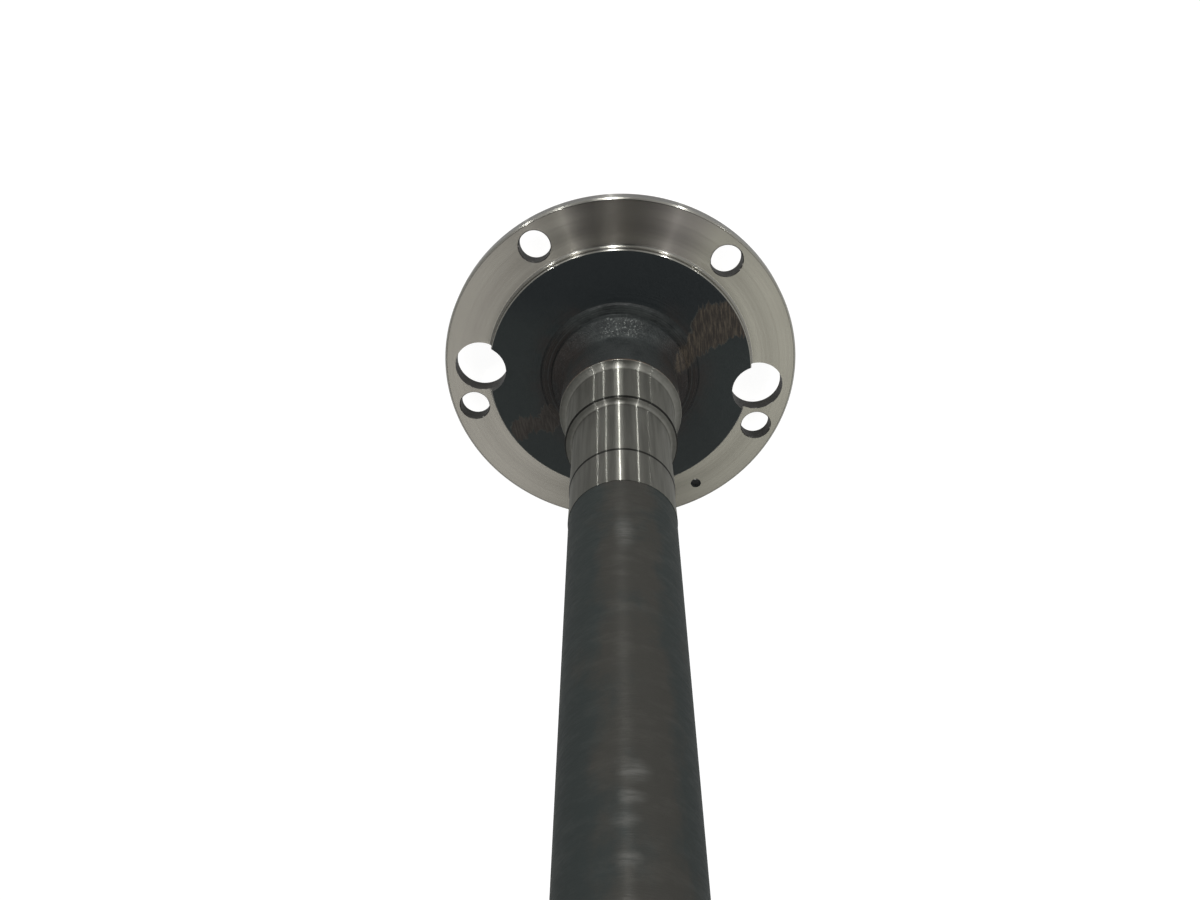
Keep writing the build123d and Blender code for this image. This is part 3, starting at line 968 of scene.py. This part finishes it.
def exact_normals(mesh, bore_slot):
    """A normal for each face corner: exact on planes and turned cylinders, smoothed elsewhere."""
    normals = [Vector(n.vector) for n in mesh.corner_normals]
    known = {}
    rest = []
    for polygon in mesh.polygons:
        flat = abs(polygon.normal.z) > EXACTLY_FLAT
        turned = abs(polygon.normal.z) < EXACTLY_UPRIGHT and polygon.material_index != bore_slot
        for loop_index in polygon.loop_indices:
            vertex = mesh.loops[loop_index].vertex_index
            if flat:
                exact = Vector((0.0, 0.0, math.copysign(1.0, polygon.normal.z)))
            elif turned and polygon.center.z < SPLINE_COLLAR_Z:
                place = mesh.vertices[vertex].co
                exact = Vector((place.x, place.y, 0.0)).normalized()
                exact = exact if exact.dot(polygon.normal) > 0 else -exact
            else:
                rest.append((loop_index, vertex, polygon.normal))
                continue
            normals[loop_index] = exact
            known.setdefault(vertex, []).append(exact)
    limit = math.cos(math.radians(SMOOTH_ANGLE))
    for loop_index, vertex, face_normal in rest:
        for exact in known.get(vertex, ()):
            if exact.dot(face_normal) > limit:
                normals[loop_index] = exact
                break
    return normals


def build_shaft():
    """The shaft's mesh with its holes, materials and normals."""
    body = bpy.data.objects.new("axle_shaft_forging", lathe_mesh("axle_shaft_forging"))
    bpy.context.scene.collection.objects.link(body)
    cut_holes(body)
    mesh = body.data
    makers = (turned_steel, ground_steel, edge_steel, spline_steel, forged_scale, hub_scale, shaft_scale,
              drilled_bore)
    mesh.materials.clear()
    slots = {}
    for make in makers:
        material = make()
        slots[material.name] = len(mesh.materials)
        mesh.materials.append(material)
    for polygon in mesh.polygons:
        polygon.material_index = slots[surface_of(polygon)]
        polygon.use_smooth = True
    mesh.set_sharp_from_angle(angle=math.radians(SMOOTH_ANGLE))
    mesh.normals_split_custom_set(exact_normals(mesh, slots["drilled_bore"]))
    return body


def floor_material():
    """Grey that takes the object's shadow, with a white glow for camera, glossy and transmission rays."""
    material = bpy.data.materials.new("pale_floor")
    material.use_nodes = True
    tree = material.node_tree
    nodes, links = tree.nodes, tree.links
    shader = nodes["Principled BSDF"]
    shader.inputs["Base Color"].default_value = FLOOR_COLOUR
    shader.inputs["Roughness"].default_value = 0.9
    shader.inputs["Specular IOR Level"].default_value = 0.0
    path = nodes.new("ShaderNodeLightPath")
    total = path.outputs["Is Camera Ray"]
    for name in ("Is Glossy Ray", "Is Transmission Ray"):
        add = nodes.new("ShaderNodeMath")
        add.operation = "ADD"
        add.use_clamp = True
        links.new(total, add.inputs[0])
        links.new(path.outputs[name], add.inputs[1])
        total = add.outputs[0]
    strength = nodes.new("ShaderNodeMath")
    strength.operation = "MULTIPLY"
    strength.inputs[1].default_value = FLOOR_GLOW
    links.new(total, strength.inputs[0])
    glow = nodes.new("ShaderNodeEmission")
    links.new(strength.outputs[0], glow.inputs["Strength"])
    both = nodes.new("ShaderNodeAddShader")
    links.new(shader.outputs[0], both.inputs[0])
    links.new(glow.outputs[0], both.inputs[1])
    links.new(both.outputs[0], nodes["Material Output"].inputs["Surface"])
    return material


def pale_floor():
    """Square floor just under the object."""
    half = FLOOR_SIZE / 2
    mesh = bpy.data.meshes.new("floor")
    corners = [(-half, -half, 0), (half, -half, 0), (half, half, 0), (-half, half, 0)]
    mesh.from_pydata(corners, [], [(0, 1, 2, 3)])
    mesh.materials.append(floor_material())
    floor = bpy.data.objects.new("floor", mesh)
    floor.location.z = -FLOOR_DROP
    bpy.context.scene.collection.objects.link(floor)


class Sky:
    """Short names for the world's nodes."""

    def __init__(self, name):
        world = bpy.data.worlds.new(name)
        bpy.context.scene.world = world
        world.use_nodes = True
        self.nodes, self.links = world.node_tree.nodes, world.node_tree.links
        self.background = self.nodes["Background"]
        self.direction = self.nodes.new("ShaderNodeTexCoord").outputs["Generated"]

    def smooth(self, source, low, high):
        """Smooth step from 0 at one value to 1 at another."""
        node = self.nodes.new("ShaderNodeMapRange")
        node.interpolation_type = "SMOOTHSTEP"
        node.inputs[1].default_value = low
        node.inputs[2].default_value = high
        self.links.new(source, node.inputs[0])
        return node.outputs[0]

    def mix(self, share, a, b):
        node = self.nodes.new("ShaderNodeMix")
        self.links.new(share, node.inputs[0])
        for socket, value in ((node.inputs[2], a), (node.inputs[3], b)):
            if isinstance(value, float):
                socket.default_value = value
            else:
                self.links.new(value, socket)
        return node.outputs[0]


def studio_world():
    """Pale horizon and dome, dimmer towards -X, with a dark band overhead that narrows towards -Y."""
    sky = Sky("studio")
    nodes, links = sky.nodes, sky.links
    sky.background.inputs["Color"].default_value = (1.0, 1.0, 1.0, 1.0)
    side = nodes.new("ShaderNodeVectorMath")
    side.operation = "DOT_PRODUCT"
    turn = math.radians(BAND_TURN)
    side.inputs[1].default_value = (math.cos(turn), math.sin(turn), 0)
    links.new(sky.direction, side.inputs[0])
    away = nodes.new("ShaderNodeMath")
    away.operation = "ABSOLUTE"
    links.new(side.outputs["Value"], away.inputs[0])
    split = nodes.new("ShaderNodeSeparateXYZ")
    links.new(sky.direction, split.inputs[0])
    narrowed = nodes.new("ShaderNodeMath")
    narrowed.operation = "MULTIPLY_ADD"
    links.new(sky.smooth(split.outputs[1], *NARROWING_FADE), narrowed.inputs[0])
    narrowed.inputs[1].default_value = BAND_NARROWING
    links.new(away.outputs[0], narrowed.inputs[2])
    dome = sky.mix(sky.smooth(side.outputs["Value"], *LEFT_FADE), DOME_LEFT, DOME)
    overhead = sky.mix(sky.smooth(narrowed.outputs[0], *BAND_FADE), BAND, dome)
    strength = sky.mix(sky.smooth(split.outputs[2], *HORIZON_FADE), HORIZON, overhead)
    links.new(strength, sky.background.inputs["Strength"])


def lamps():
    """Small far lamps, whose reflections draw the thin lines on turned faces, and a soft one."""
    for name, direction, strength, width in LAMPS:
        light = bpy.data.lights.new(name, "SUN")
        light.energy = strength
        light.angle = math.radians(width)
        lamp = bpy.data.objects.new(name, light)
        lamp.rotation_euler = Vector(direction).to_track_quat("Z", "Y").to_euler()
        bpy.context.scene.collection.objects.link(lamp)


def photo_camera():
    """The camera at the photograph's place."""
    data = bpy.data.cameras.new("camera")
    data.sensor_width = CAMERA_SENSOR
    data.lens = CAMERA_LENS
    data.clip_start = 0.01
    data.clip_end = 50.0
    right = Vector(CAMERA_RIGHT)
    up = Vector(CAMERA_UP)
    turn = Matrix((right, up, right.cross(up))).transposed().to_4x4()
    camera = bpy.data.objects.new("camera", data)
    camera.matrix_world = Matrix.Translation(CAMERA_PLACE) @ turn
    bpy.context.scene.collection.objects.link(camera)
    bpy.context.scene.camera = camera


shaft = build_shaft()
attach(shaft, "root")
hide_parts("axle_shaft")
pale_floor()
studio_world()
lamps()
photo_camera()
bpy.context.scene.view_settings.view_transform = "Standard"
